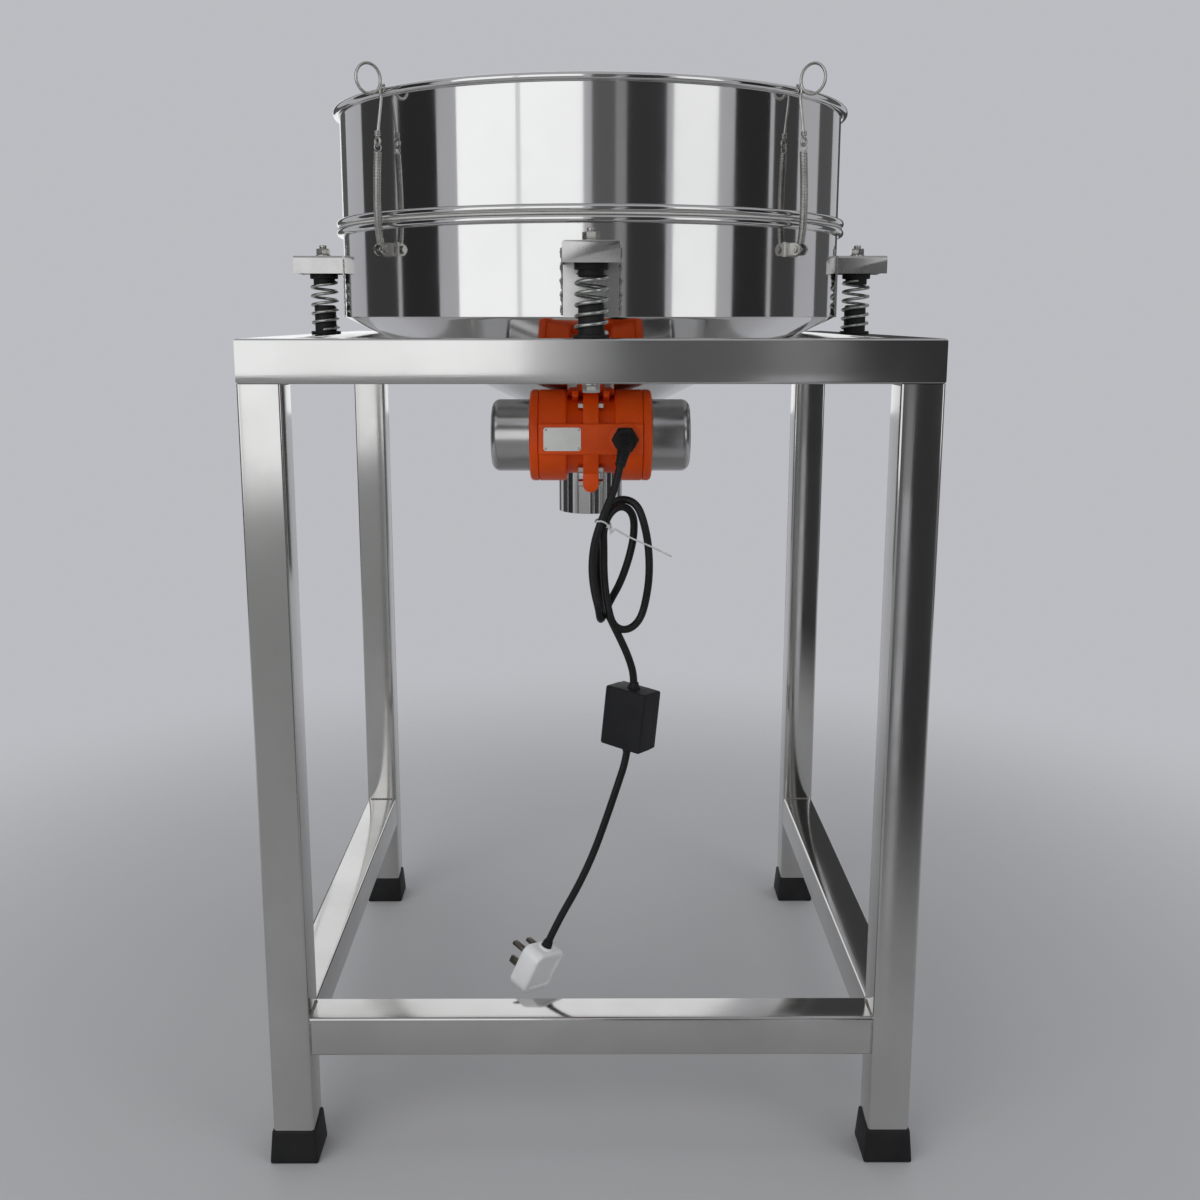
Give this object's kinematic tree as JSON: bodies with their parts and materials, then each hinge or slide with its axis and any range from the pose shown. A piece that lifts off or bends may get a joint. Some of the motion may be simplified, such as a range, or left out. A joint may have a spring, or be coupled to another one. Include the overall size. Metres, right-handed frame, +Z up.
{
  "type": "vibrating sieve",
  "caption": "Round vibrating sieve: a two-barrel drum with screen, cone and spout on coil-spring isolators over a square-tube stand, shaken by an under-slung motor.",
  "frame": {"origin": "on the floor, under the middle of the square stand", "axes": "+Z up along the drum's axis; the front, with the motor, faces -Y; +X to the right as seen from the front"},
  "size_m": [0.616, 0.616, 1.0103],
  "materials": {
    "frame_steel": "polished",
    "polished_steel": "polished",
    "wire_cloth": "satin",
    "zinc_steel": "bright",
    "spring_steel": "satin",
    "black_rubber": "matt",
    "white_rubber": "matt",
    "motor_orange": "satin",
    "cover_steel": "satin",
    "bearing_steel": "polished",
    "lamination": "dull",
    "cast_weight": "dull",
    "cord_black": "satin",
    "box_plastic": "matt",
    "plug_plastic": "satin",
    "tie_wire": "satin"
  },
  "bodies": {
    "stand": {"isolator_spring_back": "spring_steel", "isolator_spring_front": "spring_steel", "isolator_spring_left": "spring_steel", "isolator_spring_right": "spring_steel", "leg_back_left": "frame_steel", "leg_back_right": "frame_steel", "leg_front_left": "frame_steel", "leg_front_right": "frame_steel", "stretcher_front": "frame_steel", "stretcher_left": "frame_steel", "stretcher_right": "frame_steel", "top_rail_back": "frame_steel", "top_rail_front": "frame_steel", "top_rail_left": "frame_steel", "top_rail_right": "frame_steel", "rubber_feet": "black_rubber", "lower_spring_seats": "black_rubber", "seat_bolts": "zinc_steel"},
    "sieve_body": {"bracket_studs": "zinc_steel", "cable_gland": "black_rubber", "cord_hank": "cord_black", "cord_lower": "cord_black", "cord_middle": "cord_black", "cord_upper": "cord_black", "end_cover_left": "cover_steel", "end_cover_right": "cover_steel", "end_shields": "motor_orange", "hopper_cone": "polished_steel", "latch_anchors": "zinc_steel", "latch_pins": "zinc_steel", "lower_barrel": "polished_steel", "motor_bearings": "bearing_steel", "motor_bolts": "zinc_steel", "motor_housing": "motor_orange", "motor_saddle": "polished_steel", "outlet_spout": "polished_steel", "plug": "plug_plastic", "screen_cloth": "wire_cloth", "screen_gasket": "white_rubber", "screen_ring": "polished_steel", "speed_box": "box_plastic", "spring_bracket_back": "polished_steel", "spring_bracket_front": "polished_steel", "spring_bracket_left": "polished_steel", "spring_bracket_right": "polished_steel", "stator": "lamination", "twist_tie": "tie_wire", "upper_barrel": "polished_steel", "upper_spring_pads": "black_rubber"},
    "rotor": {"rotor_shaft": "bearing_steel", "rotor_core": "lamination", "eccentric_weights": "cast_weight"},
    "latch_back_right": {"latch_hook_back_right": "zinc_steel", "latch_spring_back_right": "zinc_steel"},
    "latch_back_left": {"latch_hook_back_left": "zinc_steel", "latch_spring_back_left": "zinc_steel"},
    "latch_front_left": {"latch_hook_front_left": "zinc_steel", "latch_spring_front_left": "zinc_steel"},
    "latch_front_right": {"latch_hook_front_right": "zinc_steel", "latch_spring_front_right": "zinc_steel"}
  },
  "joints": [
    {"name": "drum_bounce", "type": "slide", "parent": "stand", "child": "sieve_body", "axis": [0, 0, 1], "range_m": [-0.006, 0.004], "stiffness_N_per_m": 45000, "springref_m": 0.0029, "deforming": ["isolator_spring_right", "isolator_spring_back", "isolator_spring_left", "isolator_spring_front"]},
    {"name": "rotor_spin", "type": "hinge", "parent": "sieve_body", "child": "rotor", "pos_m": [0, -0.126, 0.67364], "axis": [1, 0, 0], "continuous": true},
    {"name": "latch_swing_back_right", "type": "hinge", "parent": "sieve_body", "child": "latch_back_right", "pos_m": [0.19026, 0.18374, 0.8485], "axis": [-0.6947, 0.7193, 0], "range_deg": [0, 110]},
    {"name": "latch_swing_back_left", "type": "hinge", "parent": "sieve_body", "child": "latch_back_left", "pos_m": [-0.19026, 0.18374, 0.8485], "axis": [-0.6947, -0.7193, 0], "range_deg": [0, 110]},
    {"name": "latch_swing_front_left", "type": "hinge", "parent": "sieve_body", "child": "latch_front_left", "pos_m": [-0.19026, -0.18374, 0.8485], "axis": [0.6947, -0.7193, 0], "range_deg": [0, 110]},
    {"name": "latch_swing_front_right", "type": "hinge", "parent": "sieve_body", "child": "latch_front_right", "pos_m": [0.19026, -0.18374, 0.8485], "axis": [0.6947, 0.7193, 0], "range_deg": [0, 110]}
  ]
}
